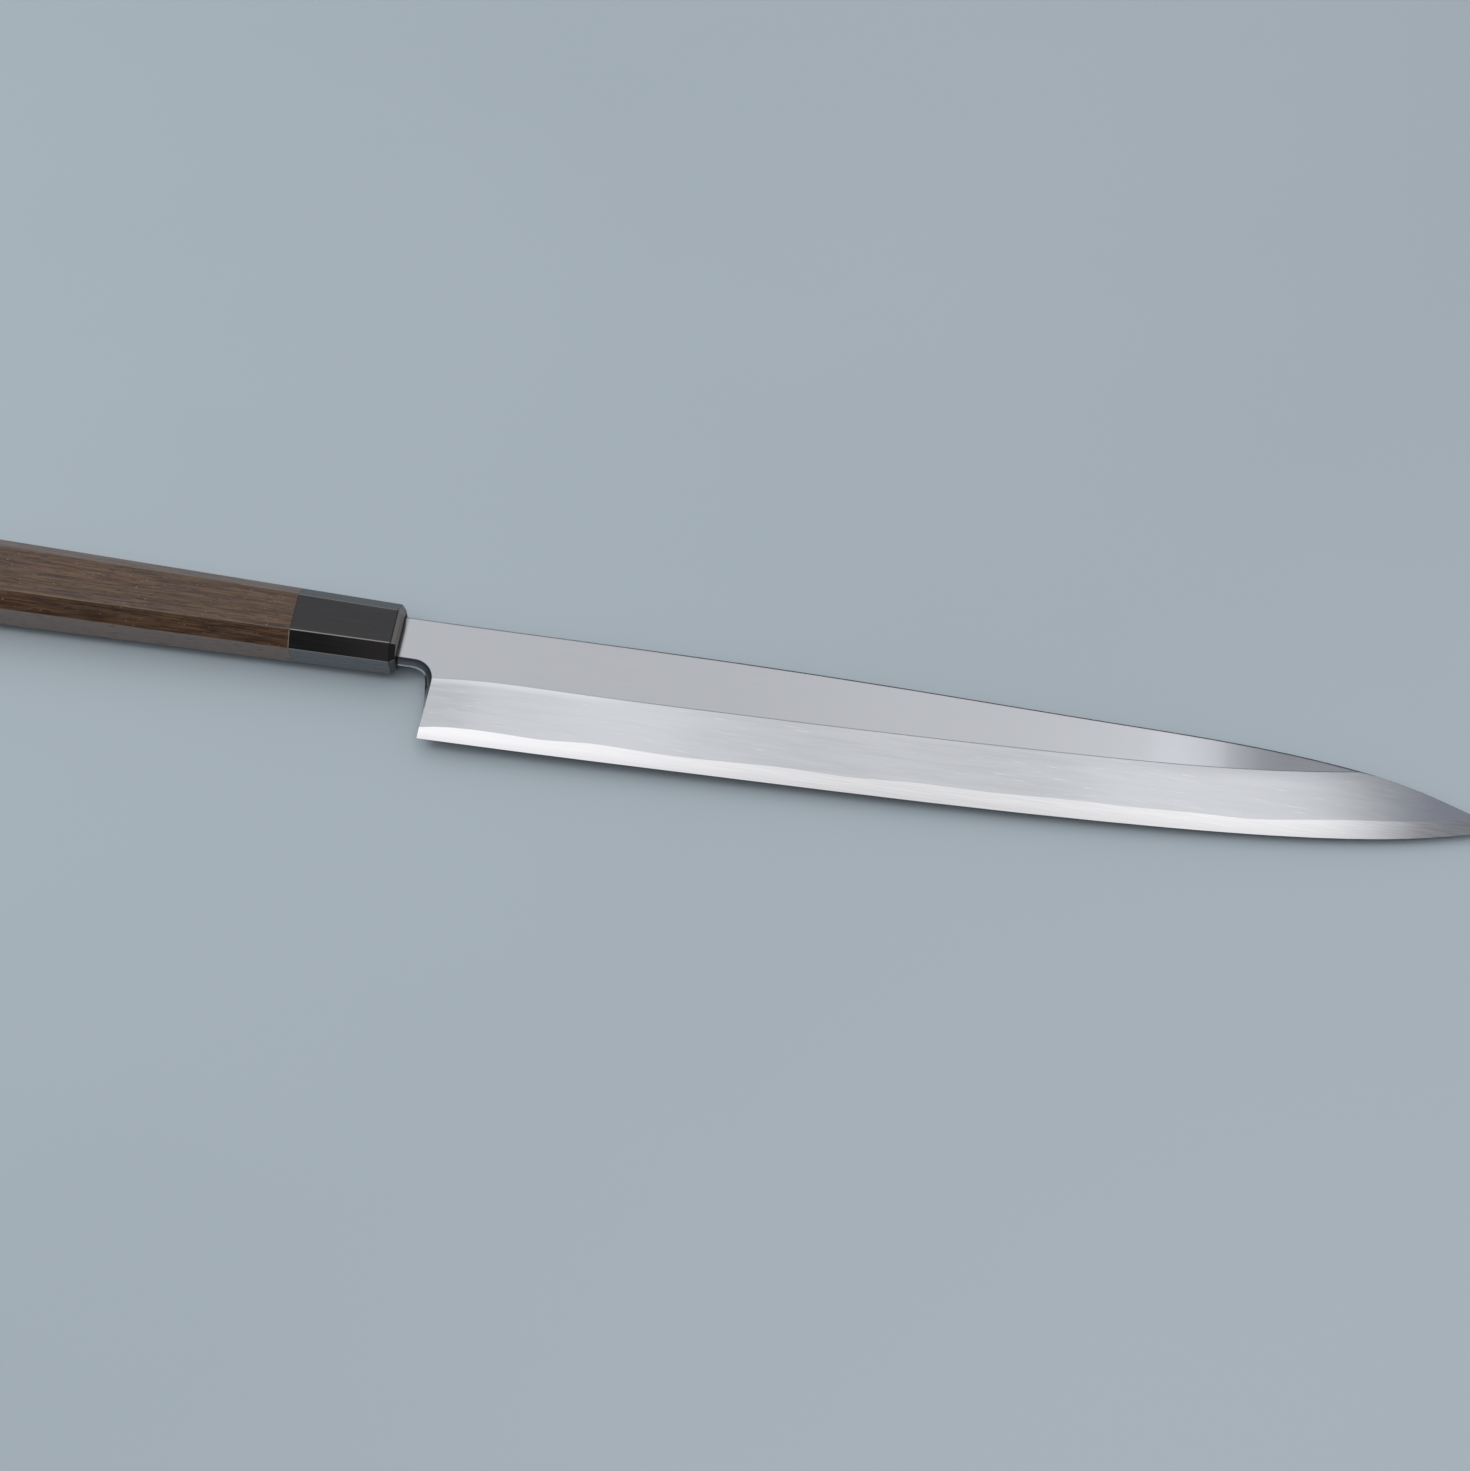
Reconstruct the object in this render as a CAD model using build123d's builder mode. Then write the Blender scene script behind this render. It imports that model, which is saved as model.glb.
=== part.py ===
"""A right-handed yanagiba: long single-bevel slicing knife with an octagonal wooden handle.

All sizes are millimetres. The knife lies on a table with its bevelled face up: +X runs towards the
tip, +Y towards the spine and +Z up. The handle rests on one of its side facets, and the origin is
the middle of the wooden part of that facet.
"""
import os
from math import atan, cos, sin

from build123d import *

os.makedirs("parts", exist_ok=True)

# Handle: a tapering octagon from the mouth, where the neck goes in, to the butt
handle_length = 150.0
ferrule_length = 31.7
mouth_height = 19.8
mouth_width = 16.4
mouth_chamfer = 1.4
butt_height = 23.9
butt_width = 19.6
butt_chamfer = 1.6
handle_facet = 4.35
handle_edge_round = 0.3

# Core: the dowel inside, which joins horn and wood and reaches a little past the tang
core_diameter = 13.0
core_setback = 8.0
core_end_wall = 10.0

# Neck, and the tang that carries on from it inside the handle
neck_height = 13.5
neck_length = 11.0
neck_thickness = 4.5
neck_seat = 3.0
tang_length = 98.0
tang_root_height = 9.5
tang_root_thickness = 4.0
tang_end_height = 5.0
tang_end_thickness = 2.6

# Bedding: the resin around the tang, wider at the neck, and how far it stands back in the mouth
tang_clearance = 0.35
neck_clearance = 0.9
bedding_recess = 0.5

# Blade: length from heel to tip, height from spine to edge at the heel, and the thickness that its
# flat would have if it ran on to the tip
blade_length = 317.5
blade_height = 37.0
tip_thickness = 2.2
edge_land = 0.12
tip_land = 0.5
spine_round = 0.45
spine_back_round = 0.25
choil_facet_height = 0.8

# Hollow ground into the back, and the flat rims left beside it. Its arc starts a little under the face.
hollow_depth = 0.45
hollow_sink = 0.045
hollow_edge_rim = 1.4
hollow_spine_rim = 2.6

# Hard steel starts this far along the neck
weld_start = 3.0

# Length that a cutting shape runs past what it cuts
overrun = 2.0

# The blade's outline: place from heel to tip as a share of the blade's length, then how far the
# edge, the ridge between flat and bevel and the spine lie below the neck's top, as shares of the
# blade's height. The ridge meets the spine before the tip and then stands for the bevel's slope.
outline_shares = (
    (-0.04, 1.0, 0.523, 0.0),
    (0.0, 1.0, 0.512, -0.003),
    (0.03, 0.996, 0.485, -0.006),
    (0.115, 0.984, 0.462, -0.016),
    (0.265, 0.953, 0.438, -0.03),
    (0.45, 0.912, 0.391, -0.02),
    (0.63, 0.85, 0.327, 0.009),
    (0.75, 0.785, 0.257, 0.031),
    (0.85, 0.699, 0.147, 0.101),
    (0.925, 0.592, 0.02, 0.222),
    (0.965, 0.509, -0.07, 0.326),
    (1.0, 0.43, -0.155, 0.43),
)

# Depth of the hollow at the same places, as shares of its full depth. It starts and ends below the
# face, so it runs out smoothly.
hollow_shares = (-0.3, -0.2, 0.4, 1.0, 1.0, 1.0, 0.9, 0.75, 0.6, 0.35, -0.2, -0.3)

# The curved step from neck to heel, on the bevelled face and on the back: shares of the neck's
# length along the knife, and of the step's height below the neck
choil_face_shares = (
    (0.52, 0.0),
    (0.73, 0.02),
    (0.93, 0.083),
    (1.06, 0.185),
    (1.105, 0.35),
    (1.1, 0.52),
    (1.06, 0.73),
    (0.995, 1.0),
)
choil_back_shares = (
    (0.38, 0.03),
    (0.61, 0.053),
    (0.76, 0.102),
    (0.835, 0.18),
    (0.89, 0.31),
    (0.935, 0.48),
    (0.955, 0.73),
    (0.97, 1.0),
)
choil_facet_share = 0.3

# The forge weld between soft iron and hard steel: place from heel to tip, and height above the
# back as a share of the blade's thickness there
weld_shares = (
    (0.0, 0.21),
    (0.04, 0.262),
    (0.08, 0.258),
    (0.115, 0.247),
    (0.155, 0.284),
    (0.19, 0.277),
    (0.225, 0.258),
    (0.31, 0.28),
    (0.355, 0.288),
    (0.4, 0.268),
    (0.45, 0.3),
    (0.54, 0.29),
    (0.59, 0.308),
    (0.66, 0.294),
    (0.72, 0.294),
    (0.77, 0.266),
    (0.82, 0.3),
    (0.875, 0.308),
    (0.92, 0.28),
    (1.0, 0.26),
)

# The handle narrows towards the mouth, so with its side facet flat on the table the knife's own
# axis leans down towards the tip by half of that taper
facet_lean = atan((butt_width - mouth_width) / 2 / handle_length)
rest_reach = (handle_length + ferrule_length) / 2 / cos(facet_lean)
knife = Plane(
    origin=(
        rest_reach + mouth_width / 2 * sin(facet_lean),
        0,
        mouth_width / 2 * cos(facet_lean),
    ),
    x_dir=(cos(facet_lean), 0, -sin(facet_lean)),
    z_dir=(sin(facet_lean), 0, cos(facet_lean)),
)
side = Plane(origin=knife.origin, x_dir=knife.x_dir, z_dir=-knife.y_dir)
back = -neck_thickness / 2
blade_reach = neck_length + blade_length
shoulder = -neck_seat


def across(x):
    """Plane square to the knife's axis at x: its own x is towards the spine and its y up."""
    return Plane(origin=knife.from_local_coords((x, 0, 0)), x_dir=knife.y_dir, z_dir=knife.x_dir)


def along(share):
    """Place on the knife's axis, a share of the way from heel to tip."""
    return neck_length + blade_length * share


def below(share):
    """Place across the knife, a share of the blade's height below the neck's top."""
    return neck_height / 2 - blade_height * share


def flat_at(x):
    """Height of the blade's flat face, which comes evenly closer to the back towards the tip."""
    return back + neck_thickness + (tip_thickness - neck_thickness) * x / blade_reach


# The whole handle's outer form, which is shared out to horn and wood below: side view and top view
# crossed, then four facets planed on the long edges and every edge broken by hand
with BuildPart() as handle_form:
    with BuildSketch(side):
        with BuildLine():
            Polyline(
                (0, -mouth_width / 2),
                (0, mouth_width / 2),
                (-handle_length, butt_width / 2),
                (-handle_length, -butt_width / 2),
                close=True,
            )
        make_face()
    extrude(amount=butt_height, both=True)
    with BuildSketch(knife):
        with BuildLine():
            Polyline(
                (0, -mouth_height / 2),
                (0, mouth_height / 2),
                (-handle_length, butt_height / 2),
                (-handle_length, -butt_height / 2),
                close=True,
            )
        make_face()
    extrude(amount=butt_width, both=True, mode=Mode.INTERSECT)
    chamfer(handle_form.edges().sort_by(SortBy.LENGTH)[-4:], handle_facet)
    chamfer(handle_form.faces().sort_by(Axis.X)[-1].edges(), mouth_chamfer)
    chamfer(handle_form.faces().sort_by(Axis.X)[0].edges(), butt_chamfer)
    fillet(handle_form.edges(), handle_edge_round)

core_length = tang_length + tang_clearance + core_end_wall - core_setback
with BuildPart() as core_bore:
    with BuildSketch(across(-core_setback)):
        Circle(core_diameter / 2)
    extrude(amount=-core_length)

# The socket that the tang is bedded in: a pocket for the neck at the mouth, then a tapering slot
with BuildPart() as tang_socket:
    with BuildSketch(across(overrun)):
        Rectangle(neck_height + 2 * neck_clearance, neck_thickness + 2 * tang_clearance)
    extrude(amount=shoulder - tang_clearance - overrun)
    with BuildSketch(across(shoulder - tang_clearance)):
        Rectangle(tang_root_height + 2 * tang_clearance, tang_root_thickness + 2 * tang_clearance)
    with BuildSketch(across(-tang_length - tang_clearance)):
        Rectangle(tang_end_height + 2 * tang_clearance, tang_end_thickness + 2 * tang_clearance)
    loft()

with BuildPart() as ferrule:
    add(handle_form.part)
    split(bisect_by=across(-ferrule_length), keep=Keep.TOP)
    add(core_bore.part, mode=Mode.SUBTRACT)
    add(tang_socket.part, mode=Mode.SUBTRACT)
ferrule.part.label = "ferrule"

with BuildPart() as handle_body:
    add(handle_form.part)
    split(bisect_by=across(-ferrule_length), keep=Keep.BOTTOM)
    add(core_bore.part, mode=Mode.SUBTRACT)
handle_body.part.label = "handle_body"

with BuildPart() as handle_core:
    add(core_bore.part)
    add(tang_socket.part, mode=Mode.SUBTRACT)
handle_core.part.label = "handle_core"

# The space over the bevel, whose floor is ruled from the edge up to the ridge
with BuildPart() as bevel_space:
    for station, edge_share, ridge_share, _ in outline_shares:
        x = along(station)
        edge = below(edge_share)
        ridge = below(ridge_share)
        land = back + edge_land
        flat = flat_at(x)
        margin = blade_height / 2
        rise = (flat - land) / (ridge - edge) * margin
        roof = back + 3 * neck_thickness
        with BuildSketch(across(x)):
            with BuildLine():
                Polyline(
                    (edge - margin, land - rise),
                    (ridge + margin, flat + rise),
                    (ridge + margin, roof),
                    (edge - margin, roof),
                    close=True,
                )
            make_face()
    loft()

# The space in front of the heel and under the neck. Its wall leans out towards the back face and
# ends there in a narrow facet.
step_height = below(1) + neck_height / 2
with BuildPart() as choil_space:
    for height, share in (
        (back - overrun, 0),
        (back, 0),
        (back + choil_facet_height, choil_facet_share),
        (back + neck_thickness, 1),
        (back + neck_thickness + overrun, 1),
    ):
        wall = [
            (
                neck_length * (back_x + (face_x - back_x) * share),
                -neck_height / 2 + step_height * (back_y + (face_y - back_y) * share),
            )
            for (back_x, back_y), (face_x, face_y) in zip(choil_back_shares, choil_face_shares)
        ]
        floor = below(1) - overrun
        with BuildSketch(knife.offset(height)):
            with BuildLine():
                Spline(*wall)
                Polyline(
                    wall[-1],
                    (wall[-1][0], floor),
                    (shoulder - overrun, floor),
                    (shoulder - overrun, wall[0][1]),
                    wall[0],
                )
            make_face()
    loft(ruled=True)

# The hollow of the back, an arc across the blade that follows edge and spine
with BuildPart() as back_hollow:
    for (station, edge_share, _, spine_share), depth_share in zip(outline_shares, hollow_shares):
        if 0 <= station < outline_shares[-1][0]:
            low = below(edge_share) + hollow_edge_rim
            high = below(spine_share) - hollow_spine_rim
            with BuildSketch(across(along(station))):
                with BuildLine():
                    hollow_arc = ThreePointArc(
                        (low, back - hollow_sink),
                        ((low + high) / 2, back + hollow_depth * depth_share),
                        (high, back - hollow_sink),
                    )
                    Polyline(hollow_arc @ 1, (high, back - overrun), (low, back - overrun), hollow_arc @ 0)
                make_face()
    loft()

# The ground blade with its neck, before it is shared out to soft iron and hard steel
with BuildPart() as blade_form:
    with BuildSketch(knife.offset(back)):
        with BuildLine():
            tip = (blade_reach, below(outline_shares[-1][1]))
            spine_line = Spline(
                (shoulder, neck_height / 2),
                *[(along(row[0]), below(row[3])) for row in outline_shares[1:-1]],
                (tip[0], tip[1] + tip_land),
            )
            Line(spine_line @ 1, tip)
            edge_line = Spline(*[(along(row[0]), below(row[1])) for row in outline_shares[:0:-1]])
            Polyline(edge_line @ 1, (shoulder, below(1)), spine_line @ 0)
        make_face()
    extrude(amount=2 * neck_thickness)
    with BuildSketch(side):
        with BuildLine():
            Polyline(
                (shoulder - overrun, flat_at(shoulder - overrun)),
                (blade_reach + overrun, flat_at(blade_reach + overrun)),
                (blade_reach + overrun, back + 3 * neck_thickness),
                (shoulder - overrun, back + 3 * neck_thickness),
                close=True,
            )
        make_face()
    extrude(amount=2 * blade_height, both=True, mode=Mode.SUBTRACT)
    spine_wall = blade_form.faces().sort_by(Axis.Y)[-1]
    back_edge, face_edge = spine_wall.edges().sort_by(SortBy.LENGTH)[-2:].sort_by(Axis.Z)
    fillet(face_edge, spine_round)
    fillet(back_edge, spine_back_round)
    add(bevel_space.part, mode=Mode.SUBTRACT)
    add(choil_space.part, mode=Mode.SUBTRACT)
    add(back_hollow.part, mode=Mode.SUBTRACT)

# Everything between the back and the forge weld
with BuildPart() as weld_zone:
    with BuildSketch(side):
        with BuildLine():
            first_share, first_height = weld_shares[0]
            weld_line = Spline(
                (weld_start, back + (flat_at(weld_start) - back) * first_height / 2),
                *[(along(s), back + (flat_at(along(s)) - back) * h) for s, h in weld_shares],
            )
            Polyline(
                weld_line @ 1,
                (blade_reach + overrun, (weld_line @ 1).Y),
                (blade_reach + overrun, back - overrun),
                (weld_start, back - overrun),
                weld_line @ 0,
            )
        make_face()
    extrude(amount=2 * blade_height, both=True)

with BuildPart() as edge_steel:
    add(blade_form.part)
    add(weld_zone.part, mode=Mode.INTERSECT)
edge_steel.part.label = "edge_steel"

with BuildPart() as blade_body:
    add(blade_form.part)
    add(weld_zone.part, mode=Mode.SUBTRACT)
    with BuildSketch(across(shoulder)):
        Rectangle(tang_root_height, tang_root_thickness)
    with BuildSketch(across(-tang_length)):
        Rectangle(tang_end_height, tang_end_thickness)
    loft()
blade_body.part.label = "blade_body"

with BuildPart() as tang_bedding:
    add(tang_socket.part)
    split(bisect_by=across(-bedding_recess), keep=Keep.BOTTOM)
    add(blade_body.part, mode=Mode.SUBTRACT)
tang_bedding.part.label = "tang_bedding"

for piece in (blade_body, edge_steel, ferrule, handle_body, handle_core, tang_bedding):
    export_step(piece.part, f"parts/{piece.part.label}.step")
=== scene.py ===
"""Looks of a yanagiba: a laminated single-bevel blade in an octagonal handle of horn and dark wood.

Lengths are metres in the row frame: +X runs towards the tip, +Y towards the spine and +Z up. The
knife's sizes are written in millimetres, times MM, and those of board, lamps and room in metres.
"""
from functools import partial
from math import atan, cos, pi, radians, sin, sqrt, tau

import bpy
from mathutils import Matrix, Quaternion, Vector


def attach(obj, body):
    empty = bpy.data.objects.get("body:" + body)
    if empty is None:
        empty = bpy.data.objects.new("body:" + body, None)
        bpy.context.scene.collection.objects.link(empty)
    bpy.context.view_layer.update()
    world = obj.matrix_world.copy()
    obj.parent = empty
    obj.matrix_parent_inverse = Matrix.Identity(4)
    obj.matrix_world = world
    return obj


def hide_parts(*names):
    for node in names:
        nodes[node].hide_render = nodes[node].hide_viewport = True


MM = 0.001

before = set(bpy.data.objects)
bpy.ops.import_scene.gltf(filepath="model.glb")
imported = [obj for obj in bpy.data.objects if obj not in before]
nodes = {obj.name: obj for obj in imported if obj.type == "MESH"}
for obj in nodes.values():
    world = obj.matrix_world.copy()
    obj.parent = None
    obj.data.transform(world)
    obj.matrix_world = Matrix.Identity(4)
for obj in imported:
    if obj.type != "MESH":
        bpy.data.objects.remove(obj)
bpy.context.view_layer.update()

# Driving sizes of the handle, the same as the CAD's
HANDLE_LENGTH = 150 * MM
FERRULE_LENGTH = 31.7 * MM
MOUTH_HEIGHT = 19.8 * MM
MOUTH_WIDTH = 16.4 * MM
MOUTH_CHAMFER = 1.4 * MM
BUTT_HEIGHT = 23.9 * MM
BUTT_WIDTH = 19.6 * MM
BUTT_CHAMFER = 1.6 * MM
HANDLE_FACET = 4.35 * MM
EDGE_ROUND = 0.3 * MM

# Where horn meets wood both edges are broken by hand, which leaves a hairline. These edges are
# square, so they turn further than any that is left alone.
HAIRLINE = 0.12 * MM
HAIRLINE_TURN = radians(60)

# Faces that meet at more than this are shaded apart
SHARP_TURN = radians(35)

# Driving sizes of what the handle holds: the dowel, the neck, and the tang in its resin
CORE_DIAMETER = 13 * MM
CORE_SETBACK = 8 * MM
CORE_END_WALL = 10 * MM
NECK_HEIGHT = 13.5 * MM
NECK_LENGTH = 11 * MM
NECK_THICKNESS = 4.5 * MM
NECK_SEAT = 3 * MM
NECK_CLEARANCE = 0.9 * MM
TANG_LENGTH = 98 * MM
TANG_ROOT_HEIGHT = 9.5 * MM
TANG_ROOT_THICKNESS = 4 * MM
TANG_CLEARANCE = 0.35 * MM

# The bore for the dowel, and the pocket and slot for the resin, worked out as in the CAD
CORE_LENGTH = TANG_LENGTH + TANG_CLEARANCE + CORE_END_WALL - CORE_SETBACK
POCKET_HEIGHT = NECK_HEIGHT + 2 * NECK_CLEARANCE
POCKET_THICKNESS = NECK_THICKNESS + 2 * TANG_CLEARANCE
POCKET_DEPTH = NECK_SEAT + TANG_CLEARANCE
SLOT_HEIGHT = TANG_ROOT_HEIGHT + 2 * TANG_CLEARANCE
SLOT_THICKNESS = TANG_ROOT_THICKNESS + 2 * TANG_CLEARANCE

# How far the cutters reach into each other and out of the mouth, and how many sides the bore has
OVERRUN = 2 * MM
BORE_SIDES = 96

# The blade's length from heel to tip, and how its ridge between flat and bevel runs along it:
# (share of that length from the heel, share of the blade's height below the neck's top)
BLADE_LENGTH = 317.5 * MM
BLADE_HEIGHT = 37 * MM
RIDGE_SHARES = (
    (0.0, 0.512),
    (0.03, 0.485),
    (0.115, 0.462),
    (0.265, 0.438),
    (0.45, 0.391),
    (0.63, 0.327),
    (0.75, 0.257),
    (0.85, 0.147),
    (0.925, 0.02),
)

# How the colour of iron and steel varies from heel to tip, partly from their polish and partly as
# painted reflections of the lamps and room: (share of the length, share of the way from the duller
# to the brighter colour)
IRON_FLAT_POLISH_AND_REFLECTION = (
    (0.0, 0.31),
    (0.3, 0.29),
    (0.46, 0.33),
    (0.55, 0.36),
    (0.66, 0.55),
    (0.715, 0.8),
    (0.743, 0.56),
    (0.765, 0.36),
    (0.785, 0.28),
    (0.81, 0.36),
    (0.84, 0.44),
    (0.9, 0.38),
    (1.0, 0.35),
)
IRON_BEVEL_POLISH_AND_REFLECTION = (
    (0.0, 0.1),
    (0.03, 0.17),
    (0.06, 0.34),
    (0.115, 0.43),
    (0.19, 0.5),
    (0.27, 0.32),
    (0.365, 0.2),
    (0.46, 0.22),
    (0.555, 0.16),
    (0.65, 0.34),
    (0.745, 0.37),
    (0.84, 0.3),
    (0.92, 0.15),
    (0.97, 0.0),
    (1.0, 0.0),
)
STEEL_POLISH_AND_REFLECTION = (
    (0.0, 0.83),
    (0.15, 0.75),
    (0.28, 0.57),
    (0.36, 0.46),
    (0.55, 0.44),
    (0.74, 0.58),
    (0.84, 0.57),
    (0.9, 0.46),
    (0.96, 0.0),
    (1.0, 0.0),
)

# How the stones' lines and the wood's grain are turned from the knife's axis: the lines follow the
# blade's ridge
STONE_TURN = radians(-1.8)
GRAIN_TURN = radians(-4)

# The stones' lines stretch every reflection across the blade, from edge to spine
ACROSS_BLADE = {"Y": 1.0, "Z": 0.2}

# Oiled horn and wood have their gloss from the film on top, so what lies under it hardly adds any
UNDER_FILM = (0.05, 0.05, 0.05, 1)

# The knife's own frame: X = 0 at the handle's mouth, leaning down to the tip as the handle tapers
LEAN = atan((BUTT_WIDTH - MOUTH_WIDTH) / 2 / HANDLE_LENGTH)
MOUTH = Vector((
    (HANDLE_LENGTH + FERRULE_LENGTH) / 2 / cos(LEAN) + MOUTH_WIDTH / 2 * sin(LEAN),
    0,
    MOUTH_WIDTH / 2 * cos(LEAN),
))
KNIFE = Matrix.Translation(MOUTH) @ Matrix.Rotation(LEAN, 4, "Y")

# The camera stands where the photograph was taken from, above the knife and a little to its right.
# Its lens and sensor are in millimetres, as Blender takes them.
EYE = Vector((0.26452, -0.39630, 0.79822))
AIM = Vector((0.19421, -0.01537, 0.00710))
ROLL = radians(-1.372)
LENS = 73.375
SENSOR = 36

# So wide that its end is lost in the room
BOARD_SIZE = 60

# One wide softbox hangs level over the table, from behind the knife to a little in front of it. It
# is brightest at its right end, which stops short of the tip, so the blade's last stretch reflects
# the dimmer room. Its front side stands at SOFTBOX_FRONT before it is turned about a point on that
# right end.
SOFTBOX_LEVEL = 1.2
SOFTBOX_WIDTH = 2.2
SOFTBOX_DEPTH = 2.4
SOFTBOX_FRONT = -0.44
SOFTBOX_PIVOT = Vector((0.545, 0.45))
SOFTBOX_TURN = radians(20)
SOFTBOX_RADIANCE = 1.0

# A small lamp straight above the handle's end lights the board in front of the handle, so the
# handle's shadow is narrow. It is too far left to be reflected by the blade.
SMALL_LAMP_PLACE = (-0.16, -0.04, 0.5)
SMALL_LAMP_WIDTH = 0.24
SMALL_LAMP_DEPTH = 0.14
SMALL_LAMP_RADIANCE = 4.8


# Nodes

# The kinds that come up most, and what is usually set on two of them
MATHS = "ShaderNodeMath"
MIX = "ShaderNodeMix"
RANGE = "ShaderNodeMapRange"
SEPARATE = "ShaderNodeSeparateXYZ"
USUAL = {
    MIX: {"data_type": "RGBA"},
    RANGE: {"interpolation_type": "SMOOTHSTEP"},
}


def linear(hex_colour):
    """Linear RGBA of an sRGB hex colour such as "5e4f44"."""
    shares = [int(hex_colour[i:i + 2], 16) / 255 for i in (0, 2, 4)]
    return (*[s / 12.92 if s <= 0.04045 else ((s + 0.055) / 1.055) ** 2.4 for s in shares], 1)


def feed(made, inputs):
    """Sets or links inputs of a node, given by name or by place.

    Inputs that the node's settings switch off have no place. A node given as a value stands for
    its first output, and a colour may be given in sRGB hex.
    """
    in_use = [socket for socket in made.inputs if socket.enabled]
    sockets = dict(enumerate(in_use)) | {socket.name: socket for socket in in_use}
    for key, value in inputs.items():
        socket = sockets[key]
        if isinstance(value, bpy.types.Node):
            value = next(output for output in value.outputs if output.enabled)
        if isinstance(value, bpy.types.NodeSocket):
            made.id_data.links.new(value, socket)
        elif socket.type == "RGBA" and isinstance(value, str):
            socket.default_value = linear(value)
        else:
            socket.default_value = value


def node(tree, kind, *inputs, **settings):
    """Adds one node with its settings, and its inputs in their order or in one dict by name."""
    made = tree.nodes.new(kind)
    for name, value in (USUAL.get(kind, {}) | settings).items():
        setattr(made, name, value)
    by_name = inputs and isinstance(inputs[0], dict)
    feed(made, inputs[0] if by_name else dict(enumerate(inputs)))
    return made


def overlap(add, share, *others):
    """Where several shares hold together, as their product."""
    for other in others:
        share = add(MATHS, share, other, operation="MULTIPLY")
    return share


def layered(add, colour, *coats):
    """A colour with coats laid over it, each given as (how much of it shows, its colour)."""
    for share, coat in coats:
        colour = add(MIX, share, colour, coat)
    return colour


# Places on the knife

def facing(add):
    """A point's outward direction as X, Y and Z sockets, in the row frame."""
    return add(SEPARATE, add("ShaderNodeTexCoord").outputs["Normal"]).outputs


def on_knife(add):
    """A point's place in the knife's own frame, as X, Y and Z sockets."""
    own = add(
        "ShaderNodeMapping",
        {
            "Vector": add("ShaderNodeTexCoord").outputs["Object"],
            "Location": MOUTH,
            "Rotation": (0, LEAN, 0),
        },
        vector_type="TEXTURE",
    )
    return add(SEPARATE, own).outputs


def along_blade(add, share, points):
    """What a smooth curve of points says at a share of the way from heel to tip."""
    made = add("ShaderNodeFloatCurve", {"Value": share})
    curve = made.mapping.curves[0]
    for _ in points[2:]:
        curve.points.new(0.5, 0.5)
    for point, place in zip(curve.points, points):
        point.location = place
    made.mapping.update()
    return made


def from_ridge(add):
    """How far a point lies below the blade's ridge, and its share of the way from heel to tip."""
    place = on_knife(add)
    heel = NECK_LENGTH
    top = NECK_HEIGHT / 2
    share = add(RANGE, place["X"], heel, heel + BLADE_LENGTH, interpolation_type="LINEAR")
    drop = along_blade(add, share, RIDGE_SHARES)
    ridge = add(RANGE, drop, 0, 1, top, top - BLADE_HEIGHT, interpolation_type="LINEAR")
    return add(MATHS, ridge, place["Y"], operation="SUBTRACT"), share


def creases(add, radius):
    """1 along sharp lines of the form, falling to 0 within a radius."""
    rounded = add("ShaderNodeBevel", {"Radius": radius}, samples=6)
    plain = add("ShaderNodeNewGeometry").outputs["Normal"]
    apart = add("ShaderNodeVectorMath", rounded, plain, operation="DISTANCE")
    return add(RANGE, apart, 0.004, 0.03)


def facet_edges(add):
    """1 along the handle's long edges, where the surface looks between two facets' directions."""
    outward = facing(add)
    turn = add(MATHS, outward["Z"], outward["Y"], operation="ARCTAN2")
    eighths = add(MATHS, turn, 8, operation="MULTIPLY")
    return add(RANGE, add(MATHS, eighths, operation="COSINE"), 0.3, -0.5)


# The share of a painted reflection of the board on the upright side facets
def painted_side_reflection(add, most):
    """most on the handle's upright side facets, falling to 0 towards the others."""
    return add(RANGE, add(MATHS, facing(add)["Y"], operation="ABSOLUTE"), 0.8, 0.95, 0, most)


# Patterns

def cells(add, along, across, seed, detail, turn=0.0):
    """Noise from 0 to 1 whose cells are along long and across wide, turned about Z."""
    place = add(
        "ShaderNodeMapping",
        {
            "Vector": add("ShaderNodeTexCoord").outputs["Object"],
            "Location": (seed, seed / 2, seed / 3),
            "Rotation": (0, 0, turn),
            "Scale": (1 / along, 1 / across, 1 / across),
        },
    )
    return add("ShaderNodeTexNoise", {"Vector": place, "Scale": 1.0, "Detail": detail})


def streaks(add, along, across, seed, detail, turn, low, high, most=1.0):
    """Cells that show from 0, where their noise is under low, to most, where it is over high."""
    return add(RANGE, cells(add, along, across, seed, detail, turn), low, high, 0, most)


# Materials

def new_material(name):
    """A material, its shader, and the function that adds a node to it."""
    material = bpy.data.materials.new(name)
    material.use_nodes = True
    tree = material.node_tree
    return material, tree.nodes["Principled BSDF"], partial(node, tree)


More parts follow.
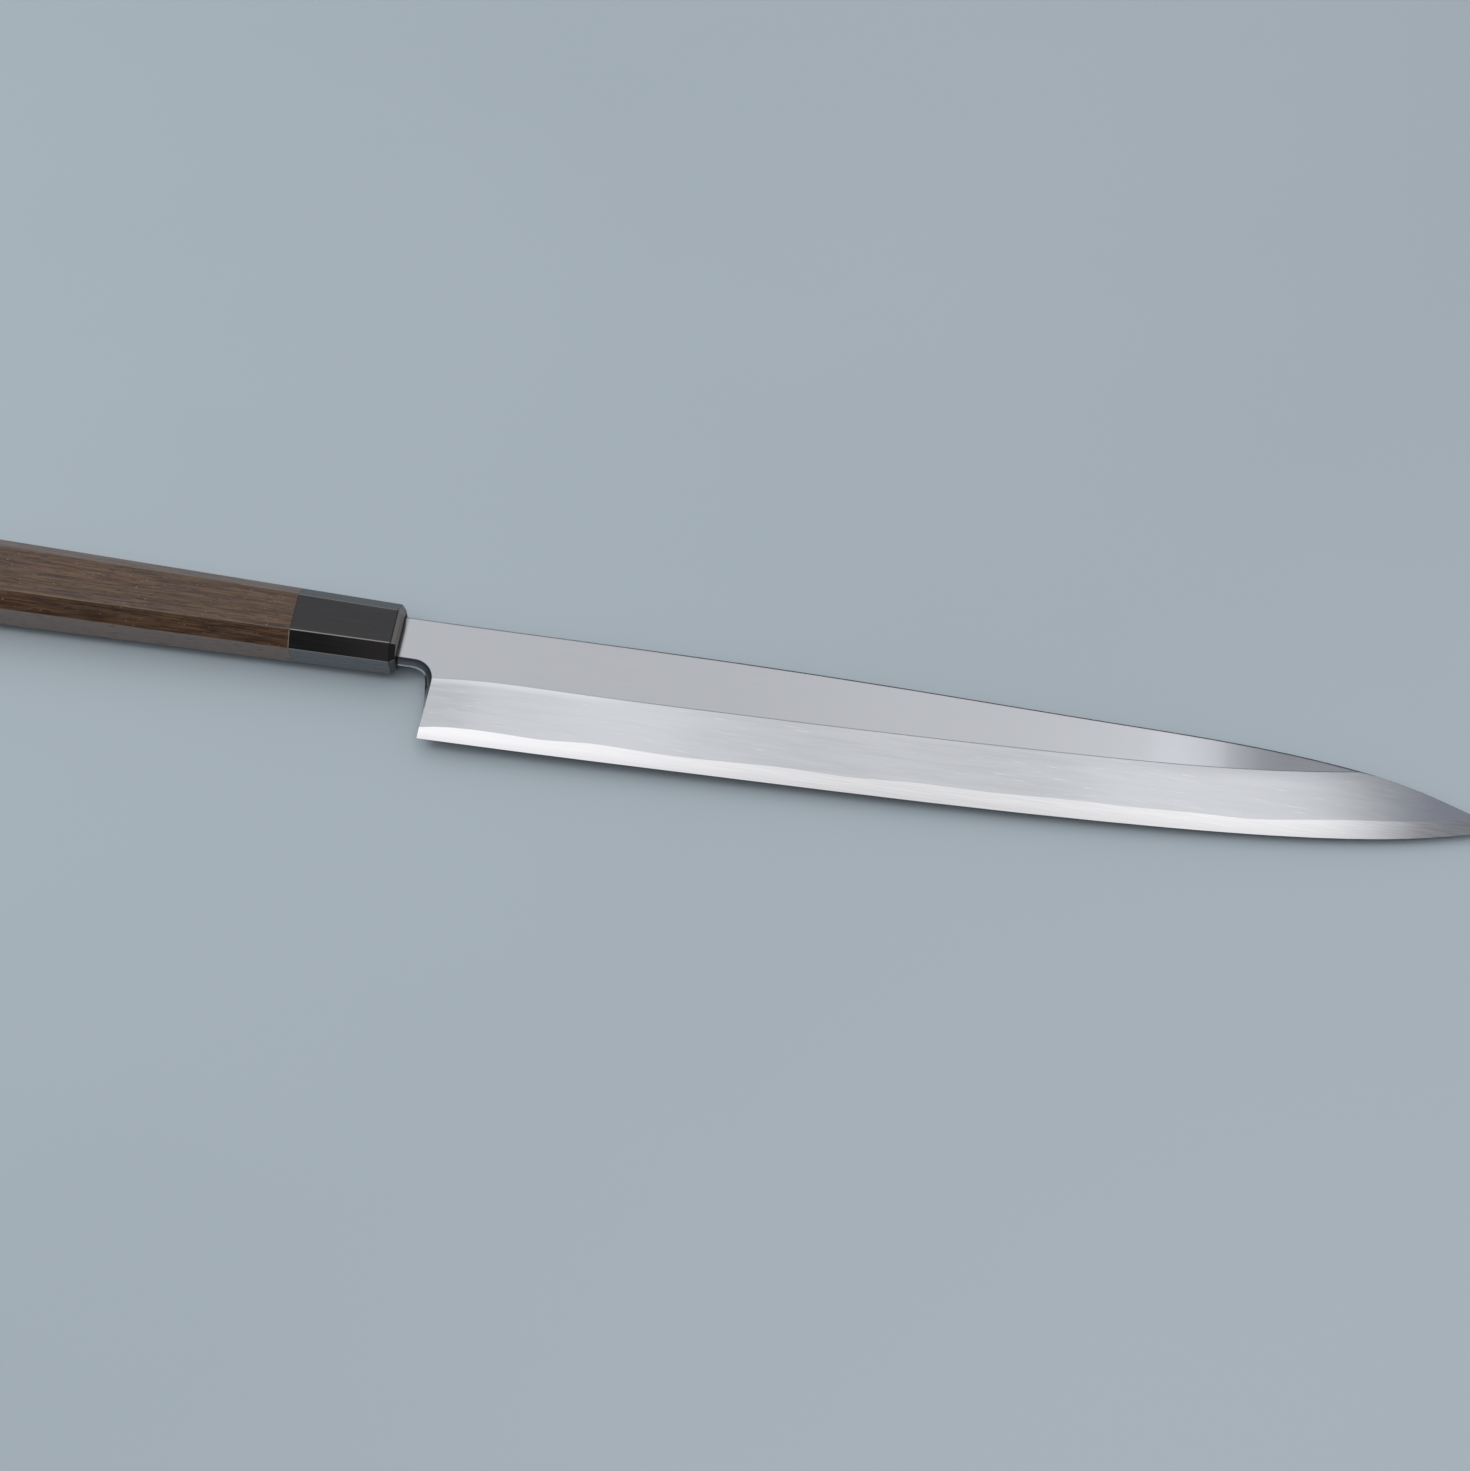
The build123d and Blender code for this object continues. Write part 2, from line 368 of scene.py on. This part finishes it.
def soft_iron():
    """Wrought soft iron, ground lengthwise: a clear satin flat, and a bevel hazed by the stone.

    The spine and the step before the heel are darker, partly from their plainer finish and partly
    as painted shade; low down they carry a painted reflection of the board, and a painted highlight
    at the foot of the step. The bevel's clouds and the long scratches are what is left by the
    stones.
    Real scratches are a few hundredths of a millimetre wide, and are drawn 0.3 mm wide so that they
    show. Along the blade the polish also carries painted reflections, and the neck a painted shade
    at the mouth.
    """
    material, shader, add = new_material("ground_soft_iron")
    below_ridge, share = from_ridge(add)
    place = on_knife(add)
    outward = facing(add)
    lines = streaks(add, 40 * MM, 0.35 * MM, 3.0, 4, STONE_TURN, 0.3, 0.7)
    scratches = streaks(add, 9 * MM, 0.3 * MM, 17.0, 2, STONE_TURN, 0.66, 0.74, 0.4)
    clouds = streaks(add, 24 * MM, 2.2 * MM, 7.0, 2, STONE_TURN, 0.35, 0.65, 0.35)
    flat = layered(
        add,
        "7d7e7f",
        (lines, "818182"),
        (along_blade(add, share, IRON_FLAT_POLISH_AND_REFLECTION), "b9babb"),
    )

    # Under its ridge the bevel is rubbed pale near the heel, and beyond the middle it carries a
    # painted shade
    rubbed_ridge = overlap(
        add,
        add(RANGE, below_ridge, 2.4 * MM, 0.3 * MM, 0, 0.4),
        add(RANGE, share, 0.14, 0.2, 1, 0),
    )
    painted_shade_under_ridge = overlap(
        add,
        add(RANGE, below_ridge, 4 * MM, 0.3 * MM, 0, 0.5),
        add(RANGE, share, 0.55, 0.78),
    )
    bevel = layered(
        add,
        "919292",
        (lines, "979898"),
        (clouds, "a1a2a2"),
        (along_blade(add, share, IRON_BEVEL_POLISH_AND_REFLECTION), "bebebf"),
        (scratches, "c4c5c7"),
        (rubbed_ridge, "c2c3c3"),
        (painted_shade_under_ridge, "8f9092"),
        # Towards the tip the bevel is greyer and bluer: a painted reflection of the room
        (add(RANGE, share, 0.88, 0.95), "929399"),
    )

    # The walls are dark, partly from their plainer finish and partly as painted shade. Low down
    # they are paler as a painted reflection of the board, with a painted highlight along the foot
    # of the step at the heel
    back = -NECK_THICKNESS / 2
    painted_foot_highlight = overlap(
        add,
        add(RANGE, place["Z"], back + 0.9 * MM, back + 0.4 * MM),
        add(RANGE, share, 0.02, 0.01),
    )
    filed_and_painted_light = layered(
        add,
        "414245",
        (add(RANGE, place["Z"], NECK_THICKNESS / 2, back / 2), "77797d"),
        (painted_foot_highlight, "c9cccc"),
    )

    # Ridge and spine show as thin dark lines, and the neck next to the mouth is darkened as a
    # painted shade
    lined = overlap(
        add,
        creases(add, 0.35 * MM),
        add(RANGE, share, 0.1, 0.25, 0.35, 0.95),
        add(RANGE, below_ridge, 1 * MM, 1.5 * MM, 1, 0),
    )
    wall = add(RANGE, add(MATHS, outward["Z"], operation="ABSOLUTE"), 0.8, 0.5)
    colour = layered(
        add,
        flat,
        (add(RANGE, outward["Y"], -0.03, -0.07), bevel),
        (lined, "48494c"),
        # Painted shade on the neck next to the mouth
        (add(RANGE, place["X"], 0.3 * MM, 1.8 * MM, 0.55, 0), "2c2b2a"),
        (wall, filed_and_painted_light),
    )
    satin = add(RANGE, lines, 0, 1, 0.15, 0.17)
    feed(shader, {
        "Base Color": colour,
        "Metallic": 1.0,
        "Roughness": add(MATHS, wall, 0.2, satin, operation="MULTIPLY_ADD"),
        "Anisotropic": 0.9,
        "Tangent": add("ShaderNodeCombineXYZ", ACROSS_BLADE),
    })
    return material


def hard_steel():
    """High-carbon steel off the finest stone: near a mirror, with a few faint lengthwise lines.

    It is brightest along the weld and a little greyer where it thins to the edge. Along the blade
    its brightness is partly polish and partly painted reflection. The hollow of the back keeps the
    wheel's satin grey, inside the bright rim that the flat stone has laid bare. The lines are drawn
    coarser than they are, as on the iron.
    """
    material, shader, add = new_material("stone_polished_hard_steel")
    share = from_ridge(add)[1]
    height = add(MATHS, on_knife(add)["Z"], NECK_THICKNESS / 2, operation="ADD")
    back = add(RANGE, facing(add)["Z"], -0.5, -0.8)
    hollow = overlap(add, back, add(RANGE, height, 0.01 * MM, 0.04 * MM))
    lines = streaks(add, 45 * MM, 0.35 * MM, 11.0, 4, STONE_TURN, 0.3, 0.7)
    wheel_marks = streaks(add, 30 * MM, 0.6 * MM, 27.0, 4, 0, 0.3, 0.7)
    colour = layered(
        add,
        "8b8a89",
        (lines, "9e9d9c"),
        (along_blade(add, share, STEEL_POLISH_AND_REFLECTION), "d8d6d5"),
        (add(RANGE, height, 0.75 * MM, 0.1 * MM, 0, 0.2), "858483"),
        (back, "c6c5c4"),
        (hollow, layered(add, "8c8b8a", (wheel_marks, "a3a2a1"))),
    )
    feed(shader, {
        "Base Color": colour,
        "Metallic": 1.0,
        "Roughness": add(RANGE, hollow, 0, 1, 0.16, 0.34),
        "Anisotropic": 0.8,
        "Tangent": add("ShaderNodeCombineXYZ", ACROSS_BLADE),
    })
    return material


def buffalo_horn():
    """Black water buffalo horn, rubbed to a satin: nearly black, with faint paler fibres.

    Its long edges are rubbed pale and carry a painted highlight, and the front facets are worn
    paler towards the mouth. The chamfer is dull grey from the file, and paler on top and towards
    the spine as a painted highlight, with a painted shade where it meets the facets. The sawn end
    is pale grey except in a ring around the neck, where it stays dark. The upright side facets
    carry a painted reflection of the pale board. The satin's scratches are finer than a tenth of a
    millimetre, and are drawn 0.3 mm wide so that they show.
    """
    material, shader, add = new_material("satin_buffalo_horn")
    place = on_knife(add)
    outward = facing(add)
    fibres = streaks(add, 24 * MM, 1.1 * MM, 5.0, 4, 0, 0.45, 0.75)
    rubbed = cells(add, 6 * MM, 0.3 * MM, 9.0, 3)
    worn = overlap(
        add,
        add(RANGE, outward["Y"], -0.5, -0.65),
        add(RANGE, place["X"], -26 * MM, -4 * MM, 0, 0.45),
    )
    # The long edges are rubbed pale, and carry a painted highlight that is strongest on the front
    edges = overlap(add, facet_edges(add), add(RANGE, outward["Y"], 0, -0.15, 0.55, 0.9))

    # The chamfer carries a painted highlight, pale on top and towards the spine, and a painted
    # shade where it meets the facets
    filed_and_painted_light = overlap(
        add,
        add(RANGE, outward["X"], 0.5, 0.65),
        add(RANGE, outward["X"], 0.9, 0.78),
        add(RANGE, outward["Z"], 0.35, 0.65, 0.1, 1),
        add(RANGE, outward["Y"], -0.3, -0.1),
    )
    behind_mouth = add(MATHS, place["X"], MOUTH_CHAMFER + 0.1 * MM, operation="ADD")
    behind_mouth = add(MATHS, behind_mouth, operation="ABSOLUTE")
    painted_shade_at_chamfer = add(RANGE, behind_mouth, 0.4 * MM, 0.15 * MM, 0, 0.8)

    # The sawn end is pale grey, and stays dark within a ring that follows the pocket's outline
    beyond_pocket = []
    for axis, pocket_size in (("Z", POCKET_THICKNESS), ("Y", POCKET_HEIGHT)):
        off_middle = add(MATHS, place[axis], operation="ABSOLUTE")
        beyond_pocket.append(add(MATHS, off_middle, pocket_size / 2, operation="SUBTRACT"))
    clear = add(MATHS, *beyond_pocket, operation="MAXIMUM")
    sawn = add(RANGE, outward["X"], 0.85, 0.95)
    bare = overlap(add, sawn, add(RANGE, clear, 0.8 * MM, 2 * MM))
    colour = layered(
        add,
        "0c0b0b",
        (fibres, "1b1816"),
        (worn, "37322f"),
        # The upright side facets carry a painted reflection of the board
        (painted_side_reflection(add, 0.8), "63666a"),
        (edges, "8a837d"),
        (filed_and_painted_light, "6c6560"),
        (bare, "7a726c"),
        (painted_shade_at_chamfer, "0b0a0a"),
    )
    satin = add(RANGE, rubbed, 0.3, 0.7, 0.25, 0.32)
    feed(shader, {
        "Base Color": colour,
        "Roughness": add(MATHS, sawn, 0.5, satin, operation="MULTIPLY_ADD"),
        "IOR": 1.54,
        "Specular Tint": UNDER_FILM,
        "Coat Weight": 0.6,
        "Coat Roughness": 0.3,
        "Normal": add(
            "ShaderNodeBump",
            {"Height": rubbed, "Distance": 0.004 * MM, "Strength": 1.0},
        ),
    })
    return material


def dark_wood():
    """Walnut, oiled: brown bands, long fibres that catch light, and open pores as short dark lines.

    Its pores are about 0.2 mm wide, and are drawn up to 0.35 mm wide so that they show. End grain
    drinks more oil and is darker. The upright side facets, and a little the facets towards the
    spine, are painted paler as a painted reflection, as on the horn. The long edges and the joint
    with the horn carry painted highlights.
    """
    material, shader, add = new_material("oiled_walnut")
    outward = facing(add)
    bands = streaks(add, 60 * MM, 2.6 * MM, 1.0, 3, GRAIN_TURN, 0.32, 0.68)
    patches = streaks(add, 36 * MM, 6 * MM, 13.0, 2, 0, 0.4, 0.6)
    fibres = streaks(add, 16 * MM, 0.45 * MM, 21.0, 4, GRAIN_TURN, 0.32, 0.68)
    pores = streaks(add, 3.2 * MM, 0.35 * MM, 34.0, 2, GRAIN_TURN, 0.57, 0.66)
    flecks = streaks(add, 1.2 * MM, 0.4 * MM, 55.0, 1, GRAIN_TURN, 0.72, 0.77, 0.5)
    # The facets towards the spine are painted paler: a painted reflection
    painted_back_reflection = add(RANGE, outward["Y"], 0.5, 0.65, 0, 0.18)
    ends = add(RANGE, add(MATHS, outward["X"], operation="ABSOLUTE"), 0.6, 0.95, 0, 0.45)

    # On the upper front facet a painted highlight shows the joint with the horn as a pale line
    from_joint = add(MATHS, on_knife(add)["X"], FERRULE_LENGTH, operation="ADD")
    from_joint = add(MATHS, from_joint, operation="ABSOLUTE")
    painted_joint_highlight = overlap(
        add,
        add(RANGE, from_joint, 0.3 * MM, 0.2 * MM, 0, 0.6),
        add(RANGE, outward["Y"], -0.5, -0.6),
        add(RANGE, outward["Z"], 0.4, 0.6),
    )
    brown = layered(
        add,
        "3a2618",
        (bands, "523825"),
        (patches, layered(add, "44331d", (bands, "422d28"))),
    )
    colour = layered(
        add,
        layered(add, brown, (0.45, "20130b")),
        (fibres, layered(add, brown, (0.3, "7d6347"))),
        (painted_back_reflection, "87756c"),
        (painted_side_reflection(add, 0.78), "87756c"),
        (overlap(add, pores, 0.65), "1d120c"),
        (flecks, "a08f7d"),
        # A painted highlight along the long edges
        (overlap(add, facet_edges(add), 0.2), "8a7868"),
        (painted_joint_highlight, "a08f82"),
        (ends, "21160f"),
    )
    relief = add(MATHS, overlap(add, fibres, 0.3), pores, operation="SUBTRACT")
    feed(shader, {
        "Base Color": colour,
        "Roughness": add(RANGE, fibres, 0, 1, 0.42, 0.34),
        "IOR": 1.5,
        "Specular Tint": UNDER_FILM,
        "Coat Weight": 0.5,
        "Coat Roughness": 0.36,
        "Normal": add(
            "ShaderNodeBump",
            {"Height": relief, "Distance": 0.02 * MM, "Strength": 1.0},
        ),
    })
    return material


def pale_wood():
    """Plain pale hardwood, as turned for dowels: a soft dry matt with a weak grain."""
    material, shader, add = new_material("plain_hardwood_dowel")
    grain = streaks(add, 50 * MM, 1.2 * MM, 2.0, 3, 0, 0.3, 0.7)
    feed(shader, {
        "Base Color": layered(add, "bd9f76", (grain, "d0b58c")),
        "Roughness": 0.65,
    })
    return material


def bedding_resin():
    """Black resin poured around the tang: dull, a little uneven where it set."""
    material, shader, add = new_material("dull_bedding_resin")
    uneven = cells(add, 1.5 * MM, 1.5 * MM, 4.0, 3)
    feed(shader, {
        "Base Color": layered(add, "121111", (uneven, "211f1d")),
        "Roughness": 0.7,
        "Normal": add(
            "ShaderNodeBump",
            {"Height": uneven, "Distance": 0.1 * MM, "Strength": 1.0},
        ),
    })
    return material


for name, material in (
    ("blade_body", soft_iron()),
    ("edge_steel", hard_steel()),
    ("handle_core", pale_wood()),
    ("tang_bedding", bedding_resin()),
):
    nodes[name].data.materials.clear()
    nodes[name].data.materials.append(material)


# Handle: horn and wood are stretches of one tapering octagon

def octagon_tree():
    """Node tree of a tapering octagon whose corner facets keep their width from end to end.

    An eight-sided prism with four rings of corners is drawn out to size: a ring at each end face
    and one where each end's chamfer starts. An end whose chamfer is zero stays square, and its
    edges are left out of the rounding.
    """
    tree = bpy.data.node_groups.new("tapering_octagon", "GeometryNodeTree")
    for name in (
        "Length",
        "Front Height",
        "Front Width",
        "Front Chamfer",
        "Back Height",
        "Back Width",
        "Back Chamfer",
        "Facet",
    ):
        tree.interface.new_socket(name, in_out="INPUT", socket_type="NodeSocketFloat")
    tree.interface.new_socket("Finish", in_out="INPUT", socket_type="NodeSocketMaterial")
    tree.interface.new_socket("Geometry", in_out="OUTPUT", socket_type="NodeSocketGeometry")
    add = partial(node, tree)
    size = add("NodeGroupInput").outputs
    sides = 8
    rings = 4
    tiny = 0.01 * MM
    prism = add(
        "GeometryNodeMeshCylinder",
        {"Vertices": sides, "Side Segments": rings - 1, "Radius": 1.0, "Depth": rings - 1},
        fill_type="NGON",
    )
    prism = add("GeometryNodeTransform", {"Geometry": prism, "Rotation": (0, 0, pi / sides)})
    corner = add(SEPARATE, add("GeometryNodeInputPosition")).outputs

    # The rings stand at -1.5, -0.5, 0.5 and 1.5, back to front
    in_front = add(MATHS, corner["Z"], 0, operation="GREATER_THAN")
    front_face = add(MATHS, corner["Z"], 1, operation="GREATER_THAN")
    back_face = add(MATHS, corner["Z"], -1, operation="LESS_THAN")
    front_inset = overlap(add, front_face, size["Front Chamfer"])
    back_inset = overlap(add, back_face, size["Back Chamfer"])
    inset = add(MATHS, front_inset, back_inset, operation="ADD")
    from_front = add(MATHS, size["Front Chamfer"], inset, operation="SUBTRACT")
    from_back = add(MATHS, size["Back Chamfer"], inset, operation="SUBTRACT")
    to_back = add(MATHS, size["Length"], from_back, operation="SUBTRACT")
    depth = add(RANGE, in_front, 0, 1, to_back, from_front, interpolation_type="LINEAR")

    # Of the two corners of a corner facet, each lies further in on one axis by the facet's leg
    leg_lost = add(MATHS, inset, 2 - sqrt(2), operation="MULTIPLY")
    leg = add(MATHS, size["Facet"], leg_lost, operation="SUBTRACT")
    across = []
    for axis, other_axis, front_size, back_size in (
        ("X", "Y", size["Front Height"], size["Back Height"]),
        ("Y", "X", size["Front Width"], size["Back Width"]),
    ):
        whole = add(
            RANGE,
            {
                "Value": depth,
                "From Max": size["Length"],
                "To Min": front_size,
                "To Max": back_size,
            },
            interpolation_type="LINEAR",
            clamp=False,
        )
        half = add(MATHS, overlap(add, whole, 0.5), inset, operation="SUBTRACT")
        own = add(MATHS, corner[axis], operation="ABSOLUTE")
        other = add(MATHS, corner[other_axis], operation="ABSOLUTE")
        further_in = add(MATHS, other, own, operation="GREATER_THAN")
        reach = add(MATHS, half, overlap(add, further_in, leg), operation="SUBTRACT")
        across.append(overlap(add, add(MATHS, corner[axis], operation="SIGN"), reach))
    place = add("ShaderNodeCombineXYZ", overlap(add, depth, -1), *across)
    drawn = add("GeometryNodeSetPosition", {"Geometry": prism, "Position": place})

    # Two rings that coincide make one square end, and an edge whose two corners both lie there
    # isn't rounded
    drawn = add("GeometryNodeMergeByDistance", {"Geometry": drawn, "Distance": tiny})
    here = add(SEPARATE, add("GeometryNodeInputPosition")).outputs["X"]
    last = add(MATHS, tiny, size["Length"], operation="SUBTRACT")
    square_front = overlap(
        add,
        add(MATHS, here, -tiny, operation="GREATER_THAN"),
        add(MATHS, size["Front Chamfer"], tiny, operation="LESS_THAN"),
    )
    square_back = overlap(
        add,
        add(MATHS, here, last, operation="LESS_THAN"),
        add(MATHS, size["Back Chamfer"], tiny, operation="LESS_THAN"),
    )
    square = add(MATHS, square_front, square_back, operation="ADD")
    square = add("GeometryNodeFieldOnDomain", {"Value": square}, domain="EDGE")
    drawn = add(
        "GeometryNodeStoreNamedAttribute",
        {
            "Geometry": drawn,
            "Name": "bevel_weight_edge",
            "Value": add(MATHS, square, 0.75, operation="LESS_THAN"),
        },
        domain="EDGE",
        data_type="FLOAT",
    )
    drawn = add("GeometryNodeRealizeInstances", {"Geometry": drawn})
    drawn = add("GeometryNodeSetMaterial", {"Geometry": drawn, "Material": size["Finish"]})
    add("NodeGroupOutput", {"Geometry": drawn})
    return tree


def solid(name, rings):
    """A closed mesh object through rings of points, which run counterclockwise seen from +X."""
    count = len(rings[0])
    points = [point for ring in rings for point in ring]
    faces = [tuple(range(count))[::-1], tuple(range(len(points) - count, len(points)))]
    for first in range(0, len(points) - count, count):
        for i in range(count):
            j = (i + 1) % count
            faces.append((first + i, first + j, first + count + j, first + count + i))
    mesh = bpy.data.meshes.new(name)
    mesh.from_pydata(points, [], faces)
    made = bpy.data.objects.new(name, mesh)
    bpy.context.scene.collection.objects.link(made)
    return made


def box_cutter(name, back, front, height, thickness):
    """A box along the knife's axis, to cut with."""
    corners = [(height / 2 * y, thickness / 2 * z) for y, z in ((1, 1), (-1, 1), (-1, -1), (1, -1))]
    return solid(name, [[(x, y, z) for y, z in corners] for x in (back, front)])


def bore_cutter():
    """The dowel's bore, to cut with."""
    turns = [tau * i / BORE_SIDES for i in range(BORE_SIDES)]
    circle = [(CORE_DIAMETER / 2 * cos(turn), CORE_DIAMETER / 2 * sin(turn)) for turn in turns]
    ends = (-CORE_SETBACK - CORE_LENGTH, -CORE_SETBACK)
    return solid("bore", [[(x, y, z) for y, z in circle] for x in ends])


def handle_stretch(name, tree, finish, back, front, back_chamfer, front_chamfer, cutters):
    """Horn or wood: a stretch of the octagon from back to front on the knife's axis, bored out."""
    def tapered(x, mouth, butt):
        """The octagon's size at x, from its sizes at mouth and butt."""
        return mouth + (butt - mouth) * -x / HANDLE_LENGTH

    made = bpy.data.objects.new(name, bpy.data.meshes.new(name))
    bpy.context.scene.collection.objects.link(made)
    drawing = made.modifiers.new("drawing", "NODES")
    drawing.node_group = tree
    sizes = {
        "Length": front - back,
        "Front Height": tapered(front, MOUTH_HEIGHT, BUTT_HEIGHT),
        "Front Width": tapered(front, MOUTH_WIDTH, BUTT_WIDTH),
        "Front Chamfer": front_chamfer,
        "Back Height": tapered(back, MOUTH_HEIGHT, BUTT_HEIGHT),
        "Back Width": tapered(back, MOUTH_WIDTH, BUTT_WIDTH),
        "Back Chamfer": back_chamfer,
        "Facet": HANDLE_FACET,
        "Finish": finish,
    }
    for socket in tree.interface.items_tree:
        if socket.in_out == "INPUT":
            drawing[socket.identifier] = sizes[socket.name]
    rounding = made.modifiers.new("rounding", "BEVEL")
    rounding.width = EDGE_ROUND
    rounding.segments = 4
    rounding.limit_method = "WEIGHT"
    hairline = made.modifiers.new("hairline", "BEVEL")
    hairline.width = HAIRLINE
    hairline.segments = 2
    hairline.limit_method = "ANGLE"
    hairline.angle_limit = HAIRLINE_TURN
    for cutter in cutters:
        cutter.location.x = -front
        cut = made.modifiers.new(cutter.name, "BOOLEAN")
        cut.operation = "DIFFERENCE"
        cut.solver = "EXACT"
        cut.object = cutter
    bpy.context.view_layer.update()
    evaluated = made.evaluated_get(bpy.context.evaluated_depsgraph_get())
    mesh = bpy.data.meshes.new_from_object(evaluated)
    made.modifiers.clear()
    made.data = mesh
    mesh.name = name

    # The cut walls come without a material
    for face in mesh.polygons:
        face.material_index = 0
    mesh.materials.clear()
    mesh.materials.append(finish)
    mesh.transform(KNIFE @ Matrix.Translation((front, 0, 0)))
    mesh.shade_smooth()
    mesh.set_sharp_from_angle(angle=SHARP_TURN)
    weighting = made.modifiers.new("weighting", "WEIGHTED_NORMAL")
    weighting.keep_sharp = True
    return made


octagon = octagon_tree()
bore = bore_cutter()
pocket = box_cutter("pocket", -POCKET_DEPTH, OVERRUN, POCKET_HEIGHT, POCKET_THICKNESS)
slot_back = -CORE_SETBACK - OVERRUN
slot_front = -POCKET_DEPTH + OVERRUN
slot = box_cutter("slot", slot_back, slot_front, SLOT_HEIGHT, SLOT_THICKNESS)
horn_ferrule = handle_stretch(
    "horn_ferrule",
    octagon,
    buffalo_horn(),
    back=-FERRULE_LENGTH,
    front=0,
    back_chamfer=0,
    front_chamfer=MOUTH_CHAMFER,
    cutters=(bore, pocket, slot),
)
wooden_handle = handle_stretch(
    "wooden_handle",
    octagon,
    dark_wood(),
    back=-HANDLE_LENGTH,
    front=-FERRULE_LENGTH,
    back_chamfer=BUTT_CHAMFER,
    front_chamfer=0,
    cutters=(bore,),
)
for cutter in (bore, pocket, slot):
    bpy.data.objects.remove(cutter)
for piece, stands_for, slot_name in (
    (horn_ferrule, "ferrule", "horn"),
    (wooden_handle, "handle_body", "dark_wood"),
):
    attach(piece, "root")
    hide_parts(stands_for)


# Camera

camera = bpy.data.objects.new("camera", bpy.data.cameras.new("camera"))
camera.data.lens = LENS
camera.data.sensor_width = SENSOR
camera.location = EYE
camera.rotation_mode = "QUATERNION"
upright = (AIM - EYE).to_track_quat("-Z", "Y")
camera.rotation_quaternion = upright @ Quaternion((0, 0, 1), ROLL)
bpy.context.scene.collection.objects.link(camera)
bpy.context.scene.camera = camera


# Stage: a matt board that the knife lies on. Near the knife its paint gets paler away from the lamp
# over the handle, so it looks evenly lit as in the photograph. Further off it is the same all over.

bpy.ops.mesh.primitive_plane_add(size=BOARD_SIZE, location=(AIM.x, 0, 0))
board = bpy.context.object
board.name = "painted_board"
material, shader, add = new_material("matt_painted_board")
spot = add("ShaderNodeTexCoord").outputs["Object"]
here = add(SEPARATE, spot).outputs
to_tip = add(RANGE, here["X"], -0.25, 0.3, 0, 0.45)
to_near_corner = add(MATHS, here["X"], here["Y"], operation="SUBTRACT")
to_near_corner = add(RANGE, to_near_corner, 0, 0.45, 0, 0.55)
paler = add(MATHS, to_tip, to_near_corner, operation="ADD")
away = add("ShaderNodeVectorMath", spot, operation="LENGTH")
paler = add(RANGE, away, 0.5, 1.5, paler, 0.4)
uneven = cells(add, 0.18, 0.12, 6.0, 3)
feed(shader, {
    "Base Color": layered(add, "9fa9ad", (uneven, "a4aeb2"), (paler, "b5bec2")),
    "Roughness": 0.9,
})
board.data.materials.append(material)


# Room: dim on the camera's side and brighter behind the knife. Low down it is as grey as the
# board's far end, so the horizon is lost.

world = bpy.data.worlds.new("room")
world.use_nodes = True
add = partial(node, world.node_tree)
heading = add(SEPARATE, add("ShaderNodeTexCoord").outputs["Generated"]).outputs
low = add(RANGE, heading["Z"], 0.08, 0.2, 1, 0)
strength = add(RANGE, heading["Y"], -0.8, -0.1, 0.23, 0.72)
feed(world.node_tree.nodes["Background"], {
    "Color": layered(add, "e6ebf7", (low, "808a94")),
    "Strength": add(RANGE, low, 0, 1, strength, 1.0),
})
bpy.context.scene.world = world


# Lamps

def area_lamp(name, place, width, depth, radiance, turn=0.0):
    """The light of a rectangular lamp that shines straight down, turned about Z.

    Its radiance is how bright it looks from below, where 1 is white.
    """
    light = bpy.data.lights.new(name, "AREA")
    light.shape = "RECTANGLE"
    light.size = width
    light.size_y = depth
    light.energy = radiance * pi * width * depth
    lamp = bpy.data.objects.new(name, light)
    lamp.location = place
    lamp.rotation_euler.z = turn
    bpy.context.scene.collection.objects.link(lamp)
    return light


to_centre = Vector((-SOFTBOX_WIDTH / 2, SOFTBOX_DEPTH / 2 + SOFTBOX_FRONT - SOFTBOX_PIVOT.y))
softbox = area_lamp(
    "overhead_softbox",
    (*(SOFTBOX_PIVOT + Matrix.Rotation(SOFTBOX_TURN, 2) @ to_centre), SOFTBOX_LEVEL),
    SOFTBOX_WIDTH,
    SOFTBOX_DEPTH,
    SOFTBOX_RADIANCE,
    SOFTBOX_TURN,
)
softbox.use_nodes = True
add = partial(node, softbox.node_tree)
to_right = add(SEPARATE, add("ShaderNodeNewGeometry").outputs["Parametric"]).outputs["X"]
glow = overlap(
    add,
    add(RANGE, to_right, 0.05, 0.7, 0.45, 1.0),
    add(RANGE, to_right, 0.78, 1.0, 0.96, 1.18),
)
feed(softbox.node_tree.nodes["Emission"], {"Strength": glow})
area_lamp(
    "lamp_over_handle",
    SMALL_LAMP_PLACE,
    SMALL_LAMP_WIDTH,
    SMALL_LAMP_DEPTH,
    SMALL_LAMP_RADIANCE,
)

bpy.context.scene.view_settings.view_transform = "Standard"
